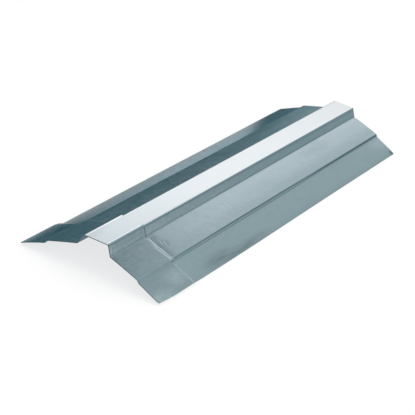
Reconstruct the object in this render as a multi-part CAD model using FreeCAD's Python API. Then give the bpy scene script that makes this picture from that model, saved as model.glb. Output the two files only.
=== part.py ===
"""Galvanised steel ridge cap for a pitched sheet-metal roof, pressed from one strip.

A flat crown stands on two steep risers. From the foot of each riser a flange runs
down the roof: a wide upper band, a small stiffening step, and a lower band that lies
on the roof sheet. At one end the whole section is swaged outwards into a lap socket,
which covers the plain end of the next cap along the ridge. A short joggle carries
the sheet from the socket down to the plain length.

Frame: X runs along the ridge with the socket at the low end, Y crosses it, Z is up.
The origin is under the middle of the cap, level with the edges that it rests on.
Millimetres and degrees.
"""
import FreeCAD
import Part
import math
import os

# Strip
cap_length = 1100.0
sheet_thickness = 0.5
corner_radius = 2.0

# Folded section, measured on the weather face from crease to crease
crown_width = 47.5
riser_width = 21.5
upper_band_width = 64.0
step_width = 7.0
lower_band_width = 54.0
bend_radius = 1.2

# Angles of the bands below the horizontal
riser_angle = 66.5
upper_band_angle = 16.5
step_angle = 57.5
lower_band_angle = 25.0

# Lap socket, and how far its inside stands off the plain end that it covers
socket_length = 127.0
socket_bend_radius = 2.5
crown_clearance = 2.2
step_clearance = 0.2
eaves_clearance = 2.6

# Joggle between the socket and the plain length, and the sections that shape its S
joggle_length = 9.0
joggle_sections = 5


def half_creases(bands):
    """Creases of the back half, from the crown's edge to the eaves edge, as (y, z)."""
    y = crown_width / 2
    z = 0.0
    points = [(y, z)]
    for width, angle in bands:
        y += width * math.cos(math.radians(angle))
        z -= width * math.sin(math.radians(angle))
        points.append((y, z))
    return points


def whole_section(points):
    """Creases of both halves, from the front eaves edge to the back one."""
    front = [(-y, z) for y, z in reversed(points)]
    return front + points


def shifted(points, distance):
    """Parallel copy of a run of creases, mitred at its corners, upwards for a positive distance."""
    normals = []
    for (y0, z0), (y1, z1) in zip(points, points[1:]):
        run = math.hypot(y1 - y0, z1 - z0)
        normals.append((-(z1 - z0) / run, (y1 - y0) / run))
    before = [normals[0]] + normals
    after = normals + [normals[-1]]
    copy = []
    for (y, z), (ny, nz), (my, mz) in zip(points, before, after):
        mitre = distance / (1 + ny * my + nz * mz)
        copy.append((y + (ny + my) * mitre, z + (nz + mz) * mitre))
    return copy


def plain_creases():
    """Weather face of the plain length, with the crown at z = 0."""
    bands = [
        (riser_width, riser_angle),
        (upper_band_width, upper_band_angle),
        (step_width, step_angle),
        (lower_band_width, lower_band_angle),
    ]
    return whole_section(half_creases(bands))


def socket_creases():
    """Weather face of the socket: one sheet and its clearance outside the plain length.

    The clearance closes in along the upper band, so that the two caps nest on their
    steps, and opens again along the lower band.
    """
    closing = math.degrees(math.asin((crown_clearance - step_clearance) / upper_band_width))
    opening = math.degrees(math.asin((eaves_clearance - step_clearance) / lower_band_width))
    bands = [
        (riser_width, riser_angle),
        (upper_band_width, upper_band_angle + closing),
        (step_width, step_angle),
        (lower_band_width, lower_band_angle - opening),
    ]
    return shifted(whole_section(half_creases(bands)), sheet_thickness + crown_clearance)


def blended(creases_a, creases_b, share):
    """Creases a given share of the way from one section to another."""
    return [
        (ya + (yb - ya) * share, za + (zb - za) * share)
        for (ya, za), (yb, zb) in zip(creases_a, creases_b)
    ]


def face_edges(x, points, inside_radius, weather_face):
    """Lines and bend arcs along one face of the sheet at station x.

    The bends of the two faces share their centres, so the face on the outside of a
    bend has the sheet's thickness added to its radius.
    """
    at = [FreeCAD.Vector(x, y, z) for y, z in points]
    edges = []
    start = at[0]
    for before, corner, after in zip(at, at[1:], at[2:]):
        arriving = (corner - before).normalize()
        leaving = (after - corner).normalize()
        turns_down = arriving.cross(leaving).x < 0
        on_outside = turns_down == weather_face
        radius = inside_radius + (sheet_thickness if on_outside else 0.0)
        half_turn = arriving.getAngle(leaving) / 2
        tangent = radius * math.tan(half_turn)
        cut_back = radius / math.cos(half_turn) - radius
        inward = (leaving - arriving).normalize()
        arc_start = corner - arriving * tangent
        arc_middle = corner + inward * cut_back
        arc_end = corner + leaving * tangent
        edges.append(Part.LineSegment(start, arc_start).toShape())
        edges.append(Part.Arc(arc_start, arc_middle, arc_end).toShape())
        start = arc_end
    edges.append(Part.LineSegment(start, at[-1]).toShape())
    return edges


def sheet_section(x, creases, inside_radius):
    """Closed outline of the sheet's cross-section at station x."""
    weather = face_edges(x, creases, inside_radius, True)
    underside = face_edges(x, shifted(creases, -sheet_thickness), inside_radius, False)
    front_cut = Part.LineSegment(underside[0].Vertexes[0].Point, weather[0].Vertexes[0].Point)
    back_cut = Part.LineSegment(weather[-1].Vertexes[-1].Point, underside[-1].Vertexes[-1].Point)
    return Part.Wire(weather + [back_cut.toShape()] + underside[::-1] + [front_cut.toShape()])


def straight_length(x0, x1, creases, inside_radius):
    """Stretch of constant section between two stations."""
    face = Part.Face(sheet_section(x0, creases, inside_radius))
    return face.extrude(FreeCAD.Vector(x1 - x0, 0, 0))


def joggle(x0, x1):
    """S-shaped stretch from the socket's section to the plain one, level at both ends."""
    socket = socket_creases()
    plain = plain_creases()
    sections = []
    for i in range(joggle_sections):
        share = i / (joggle_sections - 1)
        eased = (1 - math.cos(math.pi * share)) / 2
        creases = blended(socket, plain, eased)
        radius = socket_bend_radius + (bend_radius - socket_bend_radius) * eased
        sections.append(sheet_section(x0 + (x1 - x0) * share, creases, radius))
    return Part.makeLoft(sections, True, False)


def corner_edges(cap, x):
    """The short edges through the sheet at the two corners of the end at station x."""
    end = [edge for edge in cap.Edges if abs(edge.BoundBox.Center.x - x) < sheet_thickness / 2]
    end.sort(key=lambda edge: edge.BoundBox.Center.y)
    return [end[0], end[-1]]


def lowest_level():
    """Height of the lowest edge of the underside, with the plain crown at z = 0."""
    undersides = shifted(plain_creases(), -sheet_thickness) + shifted(socket_creases(), -sheet_thickness)
    return min(z for y, z in undersides)


def ridge_cap():
    """The whole cap as one pressed sheet, resting on z = 0."""
    x_socket = -cap_length / 2
    x_joggle = x_socket + socket_length
    x_plain = x_joggle + joggle_length
    x_end = x_socket + cap_length
    cap = straight_length(x_socket, x_joggle, socket_creases(), socket_bend_radius)
    cap = cap.fuse(joggle(x_joggle, x_plain))
    cap = cap.fuse(straight_length(x_plain, x_end, plain_creases(), bend_radius))
    cap = cap.makeFillet(corner_radius, corner_edges(cap, x_socket) + corner_edges(cap, x_end))
    cap.translate(FreeCAD.Vector(0, 0, -lowest_level()))
    return cap


def strip_width():
    """Width of the flat strip that the cap is pressed from."""
    return crown_width + 2 * (riser_width + upper_band_width + step_width + lower_band_width)


os.makedirs("parts", exist_ok=True)
cap = ridge_cap()
cap.exportStep("parts/ridge_cap.step")
print("solids", len(cap.Solids), "valid", cap.isValid(), "faces", len(cap.Faces))
print("volume", cap.Volume, "flat strip", strip_width() * cap_length * sheet_thickness)
print("box", cap.BoundBox)
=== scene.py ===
import math
import bpy
import numpy as np
from mathutils import Matrix, Vector


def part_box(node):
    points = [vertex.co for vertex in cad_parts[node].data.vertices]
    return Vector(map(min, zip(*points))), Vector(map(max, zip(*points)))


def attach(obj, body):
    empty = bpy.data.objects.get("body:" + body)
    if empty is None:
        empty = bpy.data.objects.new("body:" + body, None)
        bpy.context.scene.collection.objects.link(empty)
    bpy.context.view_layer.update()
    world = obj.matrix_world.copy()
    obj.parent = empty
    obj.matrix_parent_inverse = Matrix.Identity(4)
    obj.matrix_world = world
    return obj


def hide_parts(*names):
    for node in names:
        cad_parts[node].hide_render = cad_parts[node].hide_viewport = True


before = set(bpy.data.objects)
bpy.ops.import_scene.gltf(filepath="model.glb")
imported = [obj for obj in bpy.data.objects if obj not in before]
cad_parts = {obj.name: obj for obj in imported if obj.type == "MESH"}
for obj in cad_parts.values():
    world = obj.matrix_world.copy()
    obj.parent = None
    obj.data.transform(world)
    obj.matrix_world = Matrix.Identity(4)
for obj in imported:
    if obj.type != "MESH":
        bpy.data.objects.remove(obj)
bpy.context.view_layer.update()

# The pressed sheet.
# One strip of hot-dip galvanised steel, half a millimetre thick. A press folds its crown,
# risers, bands and steps in one stroke, and a second die swages the socket over one end.
sheet_thickness = 0.0005
corner_radius = 0.002
bend_radius = 0.0012
socket_bend_radius = 0.0025
socket_length = 0.127
joggle_length = 0.009
crown_clearance = 0.0022
step_clearance = 0.0002
eaves_clearance = 0.0026

# Bands across the strip from the front eaves to the back: widths, and headings that climb to
# the crown and fall away behind it. The socket's bands close in on the plain ones from the crown
# to the steps, and open again to the eaves.
lower_band, step, upper_band, riser, crown = 0.054, 0.007, 0.064, 0.0215, 0.0475
band_widths = np.array([lower_band, step, upper_band, riser, crown, riser, upper_band, step, lower_band])
climb = np.radians([25.0, 57.5, 16.5, 66.5])
plain_headings = np.concatenate([climb, [0.0], -climb[::-1]])
closing = math.asin((crown_clearance - step_clearance) / upper_band)
opening = math.asin((eaves_clearance - step_clearance) / lower_band)
socket_climb = climb + np.array([-opening, 0.0, closing, 0.0])
socket_headings = np.concatenate([socket_climb, [0.0], -socket_climb[::-1]])

# Folds, measured across the flat strip from the front eaves. The last is the back eaves edge.
folds = np.cumsum(band_widths).tolist()
strip_width = folds[-1]

cap_low, cap_high = (np.array(corner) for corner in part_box("ridge_cap"))
x_mouth = cap_low[0]
x_joggle = x_mouth + socket_length
x_plain = x_joggle + joggle_length
x_end = cap_high[0]
crown_height = cap_high[2] - sheet_thickness - crown_clearance


def creases(headings, offset):
    """Creases of a section, (10, 2) as y and z: running sums of the bands' widths along their
    headings, centred on the crown, then moved out by offset along the mitre at each crease."""
    steps = band_widths[:, None] * np.stack([np.cos(headings), np.sin(headings)], 1)
    points = np.concatenate([[[0.0, 0.0]], np.cumsum(steps, 0)])
    points -= (points[4] + points[5]) / 2
    before = np.concatenate([headings[:1], headings])
    after = np.concatenate([headings, headings[-1:]])
    mitre = (before + after) / 2
    reach = offset / np.cos((before - after) / 2)
    points += reach[:, None] * np.stack([-np.sin(mitre), np.cos(mitre)], 1)
    return points + np.array([0.0, crown_height])


def joggle_ease(x):
    """0 in the socket and 1 on the plain length at each of the ten creases, joined by half a
    cosine wave: short and steep at the crown, where the die bites, and long at the eaves. The
    front eaves edge also keeps half of the socket's flare, and loses it as an exponential."""
    front_start = [0.0030, 0.0030, 0.0030, 0.0045, 0.0045]
    front_length = [0.0040, 0.0050, 0.0050, 0.0030, 0.0025]
    start = np.array(front_start + front_start[::-1])
    length = np.array(front_length + front_length[::-1])
    share = np.clip((x[:, None] - x_joggle - start) / length, 0.0, 1.0)
    ease = (1 - np.cos(np.pi * share)) / 2
    flare_kept, flare_fade = 0.5, 0.06
    ease[:, 0] *= 1 - flare_kept * np.exp(-np.maximum(x - x_plain, 0.0) / flare_fade)
    return ease


def section_columns(x, band_columns, bend_columns):
    """Weather face of the sheet at each station, as (stations, columns, 2) of y and z, with the
    heading of the face and the distance across the flat strip at each column. A flat is the
    straight run between two bends. A bend turns the face's normal evenly about its centre,
    which lies below the sheet where it turns down and above it where it turns up."""
    ease = joggle_ease(x)
    socket = creases(socket_headings, sheet_thickness + crown_clearance)
    corner = socket + (creases(plain_headings, 0.0) - socket) * ease[..., None]
    run = np.diff(corner, axis=1)
    heading = np.arctan2(run[..., 1], run[..., 0])
    along = np.stack([np.cos(heading), np.sin(heading)], 2)
    turn = np.diff(heading, axis=1)
    inside = socket_bend_radius + (bend_radius - socket_bend_radius) * ease[:, 1:-1]
    radius = inside + sheet_thickness * (turn < 0)
    tangent = radius * np.tan(np.abs(turn) / 2)
    no_bend = np.zeros((len(x), 1))
    start = corner[:, :-1] + along * np.concatenate([no_bend, tangent], 1)[..., None]
    stop = corner[:, 1:] - along * np.concatenate([tangent, no_bend], 1)[..., None]
    places, headings, across = [], [], []
    edge = 0.0
    for band, columns in enumerate(band_columns):
        share = np.linspace(0.0, 1.0, columns)
        places.append(start[:, None, band] + (stop - start)[:, None, band] * share[None, :, None])
        headings.append(heading[:, band, None] + 0 * share)
        across.append(edge + band_widths[band] * share)
        edge += band_widths[band]
        if band < turn.shape[1]:
            share = np.linspace(0.0, 1.0, bend_columns + 2)[1:-1]
            angle = heading[:, band, None] + turn[:, band, None] * share
            normal = np.stack([-np.sin(angle), np.cos(angle)], 2)
            first = np.stack([-np.sin(heading[:, band]), np.cos(heading[:, band])], 1)
            outwards = -np.sign(turn[:, band])[:, None] * radius[:, band, None]
            centre = stop[:, band] - outwards * first
            places.append(centre[:, None] + outwards[:, None] * normal)
            headings.append(angle)
            across.append(edge + 0 * share)
    return np.concatenate(places, 1), np.concatenate(headings, 1), np.concatenate(across)


def stations():
    """Places along the ridge: even runs between the places in run_ends, close together in the
    joggle and just past it, and the steps of a quarter circle at the rounded corners."""
    corner_run = corner_radius * (1 - np.cos(np.linspace(0.0, np.pi / 2, 7)))
    run_ends = [x_mouth + corner_radius, x_joggle - 0.014, x_joggle - 0.001,
                x_joggle + 0.010, x_joggle + 0.046, x_end - corner_radius]
    run_counts = [22, 14, 38, 36, 105]
    runs = [np.linspace(*run) for run in zip(run_ends, run_ends[1:], run_counts)]
    return np.unique(np.concatenate([x_mouth + corner_run, *runs, x_end - corner_run]).round(7))


# Dents left by the die and by handling: place along and across the strip, half length and half
# width, and height
dents = [
    (0.1205, 0.0985, 0.0045, 0.0070, 0.00009),
    (0.1535, 0.1010, 0.0022, 0.0030, -0.00018),
    (0.1600, 0.0970, 0.0022, 0.0030, -0.00018),
    (0.1660, 0.0930, 0.0020, 0.0026, -0.00014),
]


def relief(x, across):
    """How far the press has left the sheet off its drawing, along its normal, in metres. Four
    bands bow up in a shallow parabola, the back lower one more in the socket. Past the joggle
    the front upper band lies in a trough, which falls as a parabola and rises again as an
    exponential, more slowly beside the riser. The dents are bell curves at their places."""
    x = x[:, None] - x_mouth
    band_starts = [0.0] + folds[:-1]
    shares = [np.clip((across - edge) / width, 0.0, 1.0) for edge, width in zip(band_starts, band_widths)]
    in_socket = np.clip((socket_length + 0.003 - x) / 0.006, 0.0, 1.0)
    bow_of_band = {0: 0.00012, 2: 0.00035, 6: 0.00020, 8: 0.00012 + 0.00050 * in_socket}
    total = 0 * x + 0 * across
    for band, bow in bow_of_band.items():
        total = total + bow * 4 * shares[band] * (1 - shares[band])
    up_the_band = shares[2]
    trough_start, trough_end = socket_length - 0.003, socket_length + 0.0075
    middle = 1 - (2 * up_the_band - 1) ** 4
    fall = np.clip((x - trough_start) / 0.0075, 0.0, 1.0) ** 2
    rise = np.exp(-np.maximum(x - trough_end, 0.0) / (0.009 + 0.012 * up_the_band**3))
    lens = np.exp(-((across - 0.098) / 0.014) ** 2)
    total = total - (0.00026 + 0.00008 * lens) * middle * fall * rise
    for dent_x, dent_across, long, wide, height in dents:
        bell = np.exp(-((x - dent_x) / long) ** 2 - ((across - dent_across) / wide) ** 2)
        total = total + height * bell
    return total


def corner_pull(x, across):
    """How far the end's cut edge is drawn in by the rounded corners: a quarter circle seen from
    each corner of the strip, faded out over the last centimetre of the length."""
    near_side = np.clip(corner_radius - np.minimum(across, strip_width - across), 0.0, corner_radius)
    pull = corner_radius - np.sqrt(corner_radius**2 - near_side**2)
    fade = 0.010
    at_mouth = np.clip(1 - (x - x_mouth) / fade, 0.0, 1.0)
    at_end = np.clip(1 - (x_end - x) / fade, 0.0, 1.0)
    return (at_mouth - at_end)[:, None] * pull[None, :]


def eased(value, low, high):
    """0 below low and 1 above high, with an easy start and stop between."""
    share = np.clip((value - low) / (high - low), 0.0, 1.0)
    return share * share * (3 - 2 * share)


def edges_drawn(x, across):
    """How far the edges lie off straight and square, along and across, in metres. Past the joggle
    the front eaves bow out in a bell curve. The back eaves are drawn in there, less with distance
    as an exponential, and stand out at the far end. The front corner of the mouth is drawn in by
    half a bell curve, and both ends are cut askew over the front flange. Each shift fades out
    linearly into the sheet."""
    x = x[:, None] - x_mouth
    foot = socket_length + joggle_length
    front_out = 0.00118 * np.exp(-((x - 0.36) / 0.24) ** 2) * eased(x, foot, foot + 0.030)
    front_out = front_out - 0.0034 * np.exp(-(x / 0.035) ** 2)
    back_out = 0.0011 * eased(x, 0.75, 1.05)
    back_out = back_out - 0.0023 * np.exp(-(x - 0.15) / 0.40) * eased(x, 0.116, 0.134)
    on_front = np.clip(1 - across / lower_band, 0.0, 1.0)
    on_back = np.clip(1 - (strip_width - across) / lower_band, 0.0, 1.0)
    at_corner = np.clip(1 - across / 0.012, 0.0, 1.0)
    mouth_cut = 0.0016 * (1 - eased(across, 0.050, 0.064)) + 0.0012 * at_corner
    end_cut = 0.0024 * (1 - eased(across, 0.060, 0.125)) + 0.0014 * at_corner
    fade = 0.06
    near_mouth = np.clip(1 - x / fade, 0.0, 1.0)
    near_end = np.clip(1 - (x_end - x_mouth - x) / fade, 0.0, 1.0)
    return near_mouth * mouth_cut - near_end * end_cut, back_out * on_back - front_out * on_front


def worked_zinc(x, across):
    """How much the press has worked the coating: 1 on a bend and in the joggle, fading out over
    4 mm beside a bend and 8 mm beside the joggle."""
    from_fold = np.abs(across[:, None] - np.array(folds[:-1])).min(1)
    from_joggle = np.maximum(np.maximum(x_joggle - x, x - x_plain), 0.0)
    at_fold = np.clip(1 - from_fold / 0.004, 0.0, 1.0)
    at_joggle = np.clip(1 - from_joggle / 0.008, 0.0, 1.0)
    return np.maximum(at_fold[None, :], at_joggle[:, None])


def grid_faces(rows, columns):
    """Quads of a grid of points, rows by columns."""
    index = np.arange(rows * columns).reshape(rows, columns)
    return np.stack([index[:-1, :-1], index[1:, :-1], index[1:, 1:], index[:-1, 1:]], 2).reshape(-1, 4)


def sheet_mesh(name, x, band_columns, bend_columns):
    """The sheet as two grids, the weather face and the underside one thickness below it along
    the section's normal, with strips of faces round the cut edges. Its strip attribute holds
    the place on the flat strip: distance along, distance across, and 1 on the underside."""
    places, heading, across = section_columns(x, band_columns, bend_columns)
    count, columns = heading.shape
    weather = np.empty((count, columns, 3))
    weather[..., 0] = x[:, None] + corner_pull(x, across)
    weather[..., 1:] = places
    normal = np.stack([0 * heading, -np.sin(heading), np.cos(heading)], 2)
    weather += relief(x, across)[..., None] * normal
    along_shift, across_shift = edges_drawn(x, across)
    weather[..., 0] += along_shift
    weather[..., 1] += across_shift
    underside = weather - sheet_thickness * normal

    top_faces = grid_faces(count, columns)
    bottom_faces = top_faces[:, ::-1] + count * columns
    index = np.arange(count * columns).reshape(count, columns)
    rim = np.concatenate([index[0, :-1], index[:-1, -1], index[-1, :0:-1], index[:0:-1, 0]])
    ahead = np.roll(rim, -1)
    rim_faces = np.stack([rim, ahead, ahead + count * columns, rim + count * columns], 1)
    faces = np.concatenate([top_faces, bottom_faces, rim_faces])
    mesh = bpy.data.meshes.new(name)
    mesh.from_pydata(np.concatenate([weather, underside]).reshape(-1, 3), [], faces.tolist())

    strip = np.zeros((2, count, columns, 3))
    strip[..., 0] = x[:, None]
    strip[..., 1] = across
    strip[1, ..., 2] = 1.0
    mesh.attributes.new("strip", "FLOAT_VECTOR", "POINT").data.foreach_set("vector", strip.ravel())
    worked = np.tile(worked_zinc(x, across), (2, 1, 1))
    mesh.attributes.new("worked", "FLOAT", "POINT").data.foreach_set("value", worked.ravel())
    mesh.polygons.foreach_set("use_smooth", np.ones(len(faces), bool))
    mesh.set_sharp_from_angle(angle=math.radians(40))
    mesh.update()
    return mesh


def placed(name, mesh):
    """An object with the mesh, in the scene at the origin."""
    piece = bpy.data.objects.new(name, mesh)
    bpy.context.scene.collection.objects.link(piece)
    return piece


band_columns = [22, 5, 26, 9, 18, 9, 26, 5, 22]
bend_columns = 5
pressed_mesh = sheet_mesh("pressed_sheet", stations(), band_columns, bend_columns)
pressed_sheet = placed("pressed_sheet", pressed_mesh)


class Wire:
    """A node's output in an expression. Each operator adds the Math node that works it out, with
    a wire or a number on the other side, and node() adds a node of any other type."""

    def __init__(self, socket):
        self.socket = socket

    def node(self, kind, settings, sockets, output=0):
        """Adds a node: its settings first, or a ramp's stops, then its sockets."""
        tree = self.socket.id_data
        added = tree.nodes.new(kind)
        for name, value in settings.items():
            if name == "stops":
                while len(added.color_ramp.elements) < len(value):
                    added.color_ramp.elements.new(1.0)
                for stop, (place, colour) in zip(added.color_ramp.elements, value):
                    stop.position = place
                    stop.color = (*colour, 1.0)
            else:
                setattr(added, name, value)
        for name, value in sockets.items():
            if isinstance(value, Wire):
                tree.links.new(value.socket, added.inputs[name])
            else:
                added.inputs[name].default_value = value
        return Wire(added.outputs[output])

    def math(self, operation, first, second=0.0):
        """A Math node on one value or two."""
        return self.node("ShaderNodeMath", {"operation": operation}, {0: first, 1: second})

    def __add__(self, other):
        return self.math("ADD", self, other)

    def __radd__(self, other):
        return self.math("ADD", other, self)

    def __sub__(self, other):
        return self.math("SUBTRACT", self, other)

    def __rsub__(self, other):
        return self.math("SUBTRACT", other, self)

    def __mul__(self, other):
        return self.math("MULTIPLY", self, other)

    def __rmul__(self, other):
        return self.math("MULTIPLY", other, self)

    def __abs__(self):
        return self.math("ABSOLUTE", self)

    def greater(self, other):
        """The greater of this value and the other."""
        return self.math("MAXIMUM", self, other)

    def part(self, axis):
        """One of this vector's three parts, by number."""
        return self.node("ShaderNodeSeparateXYZ", {}, {0: self}, axis)

    def between(self, low, high):
        """0 at low and 1 at high, with an easy start and stop."""
        limits = {"Value": self, "From Min": low, "From Max": high}
        return self.node("ShaderNodeMapRange", {"interpolation_type": "SMOOTHSTEP"}, limits)

    def stretched(self, scale):
        """This vector, each of its parts multiplied by its own factor."""
        return self.node("ShaderNodeVectorMath", {"operation": "MULTIPLY"}, {0: self, 1: scale})

    def noise(self, detail, rough=0.5, distortion=0.0):
        """Soft noise about 0, one lump to each unit of this vector."""
        lumps = {"Scale": 1.0, "Detail": detail, "Roughness": rough, "Distortion": distortion}
        return self.node("ShaderNodeTexNoise", {}, {"Vector": self, **lumps}) - 0.5

    def line(self, place, half_width):
        """1 where this value is at the place, falling to 0 on both sides."""
        return abs(self - place).between(half_width, 0.0)

    def spot(self, place, half_sizes):
        """1 in the middle of an ellipse on the flat strip, falling to 0 at its rim."""
        scale = (1 / half_sizes[0], 1 / half_sizes[1], 0.0)
        centre = (place[0] * scale[0], place[1] * scale[1], 0.0)
        sockets = {0: self.stretched(scale), 1: centre}
        return self.node("ShaderNodeVectorMath", {"operation": "DISTANCE"}, sockets, 1).between(1.0, 0.0)

    def mixed(self, share, other):
        """This colour turned into the other by the share."""
        sockets = {"Factor": share, 6: self, 7: other}
        return self.node("ShaderNodeMix", {"data_type": "RGBA"}, sockets, 2)


def attribute_wire(material, name, output):
    """A mesh's attribute in the material's expressions."""
    node = material.node_tree.nodes.new("ShaderNodeAttribute")
    node.attribute_name = name
    return Wire(node.outputs[output])


zinc = bpy.data.materials.new("zinc")
zinc.use_nodes = True
strip = attribute_wire(zinc, "strip", "Vector")
worked = attribute_wire(zinc, "worked", "Fac")

# Places on the flat strip: along it from the mouth, across it from the front eaves, in from the
# nearer eaves, and through the sheet
along = strip.part(0) - float(x_mouth)
across = strip.part(1)
depth = strip.part(2)
half_strip = strip_width / 2
from_eaves = half_strip - abs(across - half_strip)
flat_place = strip.node("ShaderNodeCombineXYZ", {}, {0: along, 1: across})

# Parts of the cap. Each is 1 there and 0 elsewhere, but just past the joggle it is 0.6.
off_crown = 1 - from_eaves.between(folds[3] - 0.002, folds[3])
on_riser = from_eaves.between(folds[2] - 0.005, folds[2]) * off_crown
off_back = 1 - across.between(0.190, 0.200)
swaged = 1 - along.between(0.118, 0.130)
past_joggle = along.between(0.128, 0.142) * (0.6 + 0.4 * along.between(0.15, 0.40))
far_end = along.between(0.60, 0.82)
near_part = 1 - far_end

# Crystals of zinc a few millimetres across, rolling streaks along the strip, dull clouds, mottles
# and hairlines. The crown shows them only faintly.
swirl = {"Vector": strip.stretched((150.0, 150.0, 1.0)), "Scale": 1.0, "Detail": 2.0}
swirled = {0: strip.stretched((190.0, 190.0, 1.0)), 1: strip.node("ShaderNodeTexNoise", {}, swirl, 1)}
crystal_place = strip.node("ShaderNodeVectorMath", {"operation": "ADD"}, swirled)
crystals = {"Vector": crystal_place, "Scale": 1.0, "Randomness": 1.0}
crystal = strip.node("ShaderNodeTexVoronoi", {}, crystals, 1)
grain = crystal.part(0) - 0.5
facet = crystal.part(1) - 0.5
streak = strip.stretched((5.0, 160.0, 1.0)).noise(3.0)
cloud = strip.stretched((9.0, 22.0, 1.0)).noise(3.0, 0.55, 0.4)
mottle = strip.stretched((60.0, 80.0, 1.0)).noise(3.0, 0.6)
hairline = strip.stretched((7.0, 900.0, 1.0)).noise(2.0).between(0.20, 0.26)
texture = 0.15 + 0.85 * off_crown

marks = 0.10 * grain + 0.20 * streak + 0.15 * cloud + 0.16 * mottle + 0.20 * hairline
bright_zinc = (0.595, 0.66, 0.68)
dull_zinc = (0.485, 0.555, 0.58)
ramp = {"stops": [(0.2, dull_zinc), (0.8, bright_zinc)]}
colour = strip.node("ShaderNodeValToRGB", ramp, {"Fac": 0.5 + marks * texture})


def spotted(marked, spots, breakup):
    """The marks with spots added where they are stronger. Each spot has its place along and
    across, half its length and width, and its strength, and breakup makes its tone uneven."""
    for place_along, place_across, long, wide, strength in spots:
        spot = flat_place.spot((place_along, place_across), (long, wide)) * breakup
        marked = marked.greater(spot * strength)
    return marked


# Painted shade: dark lines under the crown's edge and in the folds of the plain length, where the
# step's line lies lower and wider toward the far end, a broad shade low on the upper band, a slight
# darkening along the eaves, and faint lines beside the socket's step. Each line has its distance
# from the nearer eaves, half its width and its strength.
crown_edge = from_eaves + 0.0028 * along - 0.0014 * swaged
shade_and_dark_patches = crown_edge.line(folds[3] - 0.0014, 0.0023) * (0.45 - 0.20 * swaged)
shade_lines = [
    (0.0, 0.0140, past_joggle * 0.10),
    (folds[0] + 0.0008, 0.0015, past_joggle * near_part * 0.42),
    (folds[1] - 0.0009, 0.0021, past_joggle * near_part * 0.80),
    (folds[1] - 0.0024, 0.0034, past_joggle * far_end * 0.95),
    (folds[1] + 0.0090, 0.0260, past_joggle * 0.12),
    (folds[2] + 0.0012, 0.0020, past_joggle * 0.35),
    (folds[0] - 0.0015, 0.0040, swaged * 0.08),
    (folds[1] + 0.0030, 0.0040, swaged * 0.08),
]
for place, half_width, strength in shade_lines:
    shade_and_dark_patches = shade_and_dark_patches.greater(from_eaves.line(place, half_width) * strength)

# Painted shade: a dark line across each riser at the foot of the joggle, and a slightly darker
# stretch of riser past it. Darker patches lie on the front eaves, on the bands, and on the back
# flange in the socket and past it, and painted shade darkens the joggle's corners, the dip between
# its two highlights, the trough's corner beside the riser and the dents past the joggle.
foot = along.between(0.1250, 0.1265) * (1 - along.between(0.1315, 0.1340))
shade_and_dark_patches = shade_and_dark_patches.greater(foot * on_riser * 0.50)
shade_and_dark_patches = shade_and_dark_patches.greater(along.between(0.135, 0.200) * on_riser * 0.07)
smudge = (strip.stretched((18.0, 140.0, 1.0)).noise(3.0) + 0.5).between(0.30, 0.62)
shade_and_dark_patch_spots = [
    (0.250, 0.014, 0.092, 0.022, 0.50),
    (0.330, 0.006, 0.190, 0.018, 0.46),
    (0.050, 0.066, 0.060, 0.010, 0.10),
    (0.030, 0.046, 0.060, 0.010, 0.10),
    (0.139, 0.066, 0.007, 0.006, 0.35),
    (0.092, 0.121, 0.034, 0.010, 0.16),
    (0.550, 0.086, 0.130, 0.030, 0.10),
    (0.850, 0.112, 0.130, 0.034, 0.16),
    (0.146, 0.117, 0.022, 0.016, 0.35),
    (0.1280, 0.0572, 0.0050, 0.0045, 1.00),
    (0.1262, 0.0790, 0.0026, 0.0150, 0.40),
    (0.1296, 0.0950, 0.0044, 0.0130, 0.42),
    (0.162, 0.092, 0.0040, 0.0095, 0.60),
    (0.153, 0.096, 0.0035, 0.0065, 0.35),
    (0.136, 0.306, 0.022, 0.036, 0.75),
    (0.078, 0.304, 0.062, 0.009, 0.65),
    (0.000, 0.198, 0.110, 0.030, 0.26),
    (1.096, 0.003, 0.024, 0.014, 1.00),
]
shade_and_dark_patches = spotted(shade_and_dark_patches, shade_and_dark_patch_spots, 0.5 + 0.5 * smudge)

# Painted highlights: two slanting lines on the joggle of the upper band, a ragged line on the front
# eaves, a line along the crown's edge in the socket, a faint lift below the socket's step, a thin
# line on the ledge below the step, and a lens on the joggle with small light marks beside it.
# Lighter patches lie on the socket, at its corners and at the far end.
ragged = (strip.stretched((60.0, 260.0, 1.0)).noise(2.0) + 0.5).between(0.30, 0.60)
slanting = along + 0.15 * across
on_slope = across.between(0.059, 0.063) * (1 - across.between(0.088, 0.104))
on_eaves = 1 - across.between(0.048, 0.053)
highlights_and_light_patches = slanting.line(0.1342, 0.0026) * on_slope
highlights_and_light_patches = highlights_and_light_patches.greater(slanting.line(0.1422, 0.0018) * on_slope * 0.30)
highlights_and_light_patches = highlights_and_light_patches.greater(along.line(0.1290, 0.0030) * on_eaves * (0.4 + 0.6 * ragged) * 0.75)
highlight_lines = [
    (folds[3] + 0.0018, 0.0017, swaged * 0.70),
    (folds[0] + 0.0035, 0.0045, swaged * 0.07),
    (folds[0] + 0.0034, 0.0017, along.between(0.17, 0.28) * near_part * 0.25),
]
for place, half_width, strength in highlight_lines:
    highlights_and_light_patches = highlights_and_light_patches.greater(from_eaves.line(place, half_width) * strength)
highlight_and_light_patch_spots = [
    (0.1180, 0.0985, 0.0075, 0.0130, 0.60),
    (0.1250, 0.0625, 0.0070, 0.0036, 0.70),
    (0.1130, 0.0655, 0.0090, 0.0024, 0.25),
    (0.0065, 0.1360, 0.0045, 0.0140, 0.50),
    (0.1000, 0.0280, 0.0500, 0.0300, 0.40),
    (0.0150, 0.0060, 0.0800, 0.0280, 0.50),
    (0.1430, 0.1140, 0.0040, 0.0040, 0.50),
    (1.0900, 0.0420, 0.0900, 0.0340, 0.40),
    (0.0300, 0.3340, 0.0700, 0.0250, 1.00),
]
highlights_and_light_patches = spotted(highlights_and_light_patches, highlight_and_light_patch_spots, 0.45 + 0.55 * ragged)
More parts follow.
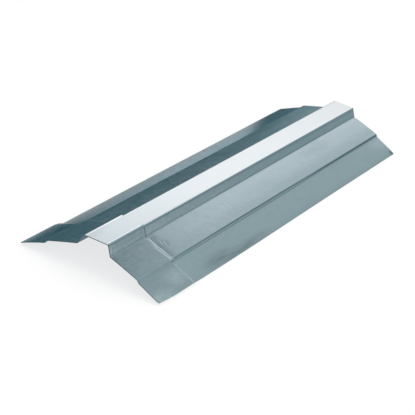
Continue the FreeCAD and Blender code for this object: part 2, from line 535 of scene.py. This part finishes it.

# Painted shade darkens the front of the socket, all but its step. The underside is painted a dull
# dark blue-grey for the shade under the cap, a painted shade darkens a thin band beside the mouth,
# and the cut edge shows bare steel between its two coats.
socket_shade_colour = (0.22, 0.27, 0.29, 1.0)
highlight_and_light_patch_colour = (0.93, 0.97, 0.98, 1.0)
shade_and_dark_patch_colour = (0.12, 0.165, 0.185, 1.0)
underside_shade_colour = (0.030, 0.110, 0.160, 1.0)
mouth_edge_shade_colour = (0.02, 0.045, 0.065, 1.0)
bare_steel = (0.16, 0.18, 0.20, 1.0)
off_step = 1 - 0.9 * from_eaves.line(folds[0] + step / 2, 0.0060)
mouth_edge_shade_mask = 1 - along.between(0.0015, 0.0030)
cut = (4 * depth * (1 - depth)).between(0.05, 0.4)
# Painted shade on the socket's front, painted highlights and light patches, painted shade and dark patches,
# painted shade on the underside and beside the mouth, then the bare cut edge
colour = colour.mixed(swaged * off_crown * off_step * off_back * 0.18, socket_shade_colour)
colour = colour.mixed(highlights_and_light_patches, highlight_and_light_patch_colour)
colour = colour.mixed(shade_and_dark_patches, shade_and_dark_patch_colour)
# Painted shade on the underside
colour = colour.mixed(depth * 0.95, underside_shade_colour)
# Painted shade in a thin band beside the mouth
colour = colour.mixed(mouth_edge_shade_mask * (0.95 - 0.50 * off_crown), mouth_edge_shade_colour)
colour = colour.mixed(cut, bare_steel)

metal = 1 - 0.85 * depth
uneven = 0.05 * facet + 0.08 * streak - 0.06 * cloud + 0.04 * mottle
roughness = 0.18 + uneven * texture + 0.25 * cut + 0.35 * depth
height = (0.9 * grain + 0.9 * mottle + 1.1 * streak - 0.6 * hairline) * (1 - worked) * texture
bump = strip.node("ShaderNodeBump", {}, {"Height": height, "Distance": 0.00002, "Strength": 1.0})

shader = zinc.node_tree.nodes["Principled BSDF"]
finish = {"Base Color": colour, "Metallic": metal, "Roughness": roughness, "Normal": bump}
for socket_name, wire in finish.items():
    zinc.node_tree.links.new(wire.socket, shader.inputs[socket_name])
pressed_mesh.materials.append(zinc)

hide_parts("ridge_cap")
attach(pressed_sheet, "root")


# The table and the daylight.
# A white sheet of paper on a table, wide enough to fill the picture. Part of its white is its own
# glow, so that it stays white in the open and the cap's shadow lies soft and grey on it.
table_height = -0.0005
table_half = 20.0
paper_white = (0.97, 0.97, 0.97, 1.0)
glow_strength = 1.03
glow_share = 0.72
table_mesh = bpy.data.meshes.new("white_table")
table_corners = [(-table_half, -table_half, table_height), (table_half, -table_half, table_height),
                 (table_half, table_half, table_height), (-table_half, table_half, table_height)]
table_mesh.from_pydata(table_corners, [], [(0, 1, 2, 3)])
table = placed("white_table", table_mesh)

paper = bpy.data.materials.new("white_paper")
paper.use_nodes = True
paper_nodes = paper.node_tree.nodes
paper_nodes.remove(paper_nodes["Principled BSDF"])
matt = Wire(paper_nodes.new("ShaderNodeBsdfDiffuse").outputs[0])
matt.socket.node.inputs["Color"].default_value = paper_white
glow = matt.node("ShaderNodeEmission", {}, {"Strength": glow_strength})
paper_mix = glow.node("ShaderNodeMixShader", {}, {0: glow_share, 1: matt, 2: glow})
paper.node_tree.links.new(paper_mix.socket, paper_nodes["Material Output"].inputs["Surface"])
table_mesh.materials.append(paper)

world = bpy.data.worlds.new("studio")
bpy.context.scene.world = world
world.use_nodes = True
daylight = world.node_tree.nodes["Background"]
daylight.inputs["Color"].default_value = (1.0, 1.0, 1.0, 1.0)
daylight.inputs["Strength"].default_value = 1.0


# The walls, soft boxes and slate cards round the table.
# They stand outside the picture and only the metal shows them: slate near the floor, soft boxes
# a fifth of the way up the walls, and grey cloth over them.
wall_reach = 10.0
slate = np.array([0.12, 0.21, 0.24])
grey_cloth = np.array([0.50, 0.58, 0.61])
ceiling = np.array([0.60, 0.66, 0.68])

# Panels on the walls, each painted over the ones before it: the azimuth of its middle and half
# its width, its lowest and highest elevation, the width of its soft edge, and its glow
wall_panels = [
    (-33.0, 32.0, -9.0, 14.0, 6.0, (0.30, 0.42, 0.45)),
    (-33.0, 32.0, -9.0, 4.0, 3.0, (0.22, 0.32, 0.35)),
    (-23.0, 4.5, -9.0, 4.0, 2.0, (0.26, 0.37, 0.40)),
    (18.0, 11.0, -9.0, 12.0, 8.0, (0.18, 0.30, 0.34)),
    (19.0, 7.8, -9.0, 12.0, 1.6, (0.25, 0.37, 0.41)),
    (50.0, 22.0, -9.0, 14.0, 8.0, (0.05, 0.125, 0.155)),
    (38.0, 37.0, 35.3, 52.0, 2.5, (0.11, 0.19, 0.20)),
    (-34.0, 34.0, 14.0, 46.0, 4.0, (0.44, 0.54, 0.56)),
    (22.0, 21.0, 24.0, 30.0, 3.0, (0.66, 0.75, 0.80)),
    (22.0, 21.0, 30.0, 35.3, 3.0, (0.82, 0.91, 0.95)),
    (4.0, 6.0, 22.0, 26.0, 3.0, (0.80, 0.88, 0.92)),
    (22.0, 15.0, 16.5, 26.0, 2.5, (1.56, 1.45, 1.44)),
    (22.0, 15.0, 22.5, 26.0, 2.5, (1.84, 1.71, 1.70)),
    (118.0, 20.0, 14.0, 28.0, 4.0, (1.50, 1.42, 1.42)),
    (205.0, 22.0, 14.0, 28.0, 4.0, (1.50, 1.42, 1.42)),
    (298.0, 20.0, 14.0, 28.0, 4.0, (1.50, 1.42, 1.42)),
]


def blended(colour, other, share):
    """The colours turned into the other by the share at each point."""
    return colour + (other - colour) * share[..., None]


def wall_glow(azimuth, elevation):
    """Colour of the walls by direction in degrees: slate that turns to grey cloth and then to
    the ceiling with height, covered by each panel inside its own window of directions."""
    lift = eased(elevation, 9.0, 17.0)[..., None]
    top = eased(elevation, 38.0, 65.0)[..., None]
    colour = slate + (grey_cloth - slate) * lift + (ceiling - grey_cloth) * top
    for middle, half_width, low, high, soft, panel in wall_panels:
        aside = np.abs((azimuth - middle + 180.0) % 360.0 - 180.0)
        window = 1 - eased(aside, half_width - soft / 2, half_width + soft / 2)
        window = window * eased(elevation, low - soft / 2, low + soft / 2)
        window = window * (1 - eased(elevation, high - soft / 2, high + soft / 2))
        colour = blended(colour, np.array(panel), window)
    return colour


def glowing_card(name, places, colours, faces):
    """A card of faces over places (points, 3) that glows with the colour at each point, and
    that only reflections see."""
    card_mesh = bpy.data.meshes.new(name)
    card_mesh.from_pydata(places.reshape(-1, 3).tolist(), [], faces.tolist())
    shade = np.ones((len(card_mesh.vertices), 4))
    shade[:, :3] = colours.reshape(-1, 3)
    card_mesh.attributes.new("glow", "FLOAT_COLOR", "POINT").data.foreach_set("color", shade.ravel())
    card = placed(name, card_mesh)
    finish = bpy.data.materials.new(name)
    finish.use_nodes = True
    nodes = finish.node_tree.nodes
    nodes.remove(nodes["Principled BSDF"])
    glow = attribute_wire(finish, "glow", "Color")
    emission = glow.node("ShaderNodeEmission", {}, {"Color": glow, "Strength": 1.0})
    finish.node_tree.links.new(emission.socket, nodes["Material Output"].inputs["Surface"])
    card_mesh.materials.append(finish)
    card.visible_camera = False
    card.visible_diffuse = False
    card.visible_shadow = False
    card.visible_transmission = False


# The walls are a dome round the table, a point every two degrees round and every degree up
azimuth, elevation = np.meshgrid(np.linspace(-180.0, 180.0, 181), np.linspace(0.0, 89.5, 90), indexing="ij")
turn, rise = np.radians(azimuth), np.radians(elevation)
outwards = np.stack([np.cos(rise) * np.cos(turn), np.cos(rise) * np.sin(turn), np.sin(rise)], 2)
wall_faces = grid_faces(*azimuth.shape)
glowing_card("studio_walls", wall_reach * outwards, wall_glow(azimuth, elevation), wall_faces)

# A slate card lies on the table beyond the far end, and another behind the socket, so that the
# back bands show the white table only between them. The slate is paler toward the front.
card_lift = 0.0003
dark_card = np.array([0.05, 0.12, 0.15])
pale_card = np.array([0.385, 0.475, 0.505])
near_white = np.array([0.47, 0.52, 0.535])
far_white = np.array([0.50, 0.67, 0.77])
card_x = [np.linspace(-2.0, 1.4, 120), np.linspace(1.5, 9.5, 20)]
card_y = [np.linspace(-9.5, -1.6, 20), np.linspace(-1.5, 0.14, 40),
          np.linspace(0.15, 1.0, 40), np.linspace(1.1, 9.5, 20)]
card_x, card_y = np.meshgrid(np.concatenate(card_x), np.concatenate(card_y), indexing="ij")
card_places = np.stack([card_x, card_y, 0 * card_x + card_lift], 2)
card_colours = blended(dark_card, pale_card, 1 - eased(card_y, -0.6, 0.0))
card_colours = card_colours * (1 + 0.14 * eased(card_x, 0.85, 1.15))[..., None]

near_edge = -0.42 + 2.4 * (card_y - 0.15) - 0.5 * (1 - eased(card_y, 0.175, 0.215))
bare = eased(card_x, near_edge - 0.12, near_edge + 0.05)
bare = bare * (1 - eased(card_x - 1.5 * (card_y - 0.2), 0.455, 0.575))
bare = bare * (1 - eased(card_y, 0.7, 1.5))
white = blended(near_white, far_white, eased(card_y, 0.16, 0.36))
white = white * (0.77 + 0.25 * eased(card_x, -0.25, 0.45))[..., None]
card_colours = blended(card_colours, white, bare)

# The card stops short of the cap, past its far end and behind its back eaves
card_faces = grid_faces(*card_x.shape)
face_middles = card_places.reshape(-1, 3)[card_faces].mean(1)
card_faces = card_faces[(face_middles[:, 0] > 0.56) | (face_middles[:, 1] > 0.149)]
glowing_card("slate_card", card_places, card_colours, card_faces)


# The camera.
# It stands on the mouth's side, 3.7 m off and above the front eaves. Its viewing angle, its eye
# and the directions of its picture's right and up were fitted to the photograph's edges.
image_side = 415
focal_pixels = 1826.6
sensor = 36.0
eye = Vector((-3.16143, -1.28681, 1.43299))
right = Vector((0.458065, -0.863430, 0.211343))
up = Vector((0.267808, 0.360752, 0.893385))
camera_data = bpy.data.cameras.new("camera")
camera_data.sensor_width = sensor
camera_data.lens = focal_pixels / image_side * sensor
camera_data.shift_x = -3.86 / image_side
camera_data.shift_y = 1.60 / image_side
camera_data.clip_end = 100.0
camera = placed("camera", camera_data)
turned = Matrix((right, up, right.cross(up))).transposed().to_4x4()
camera.matrix_world = Matrix.Translation(eye) @ turned
bpy.context.scene.camera = camera
bpy.context.scene.view_settings.view_transform = "Standard"
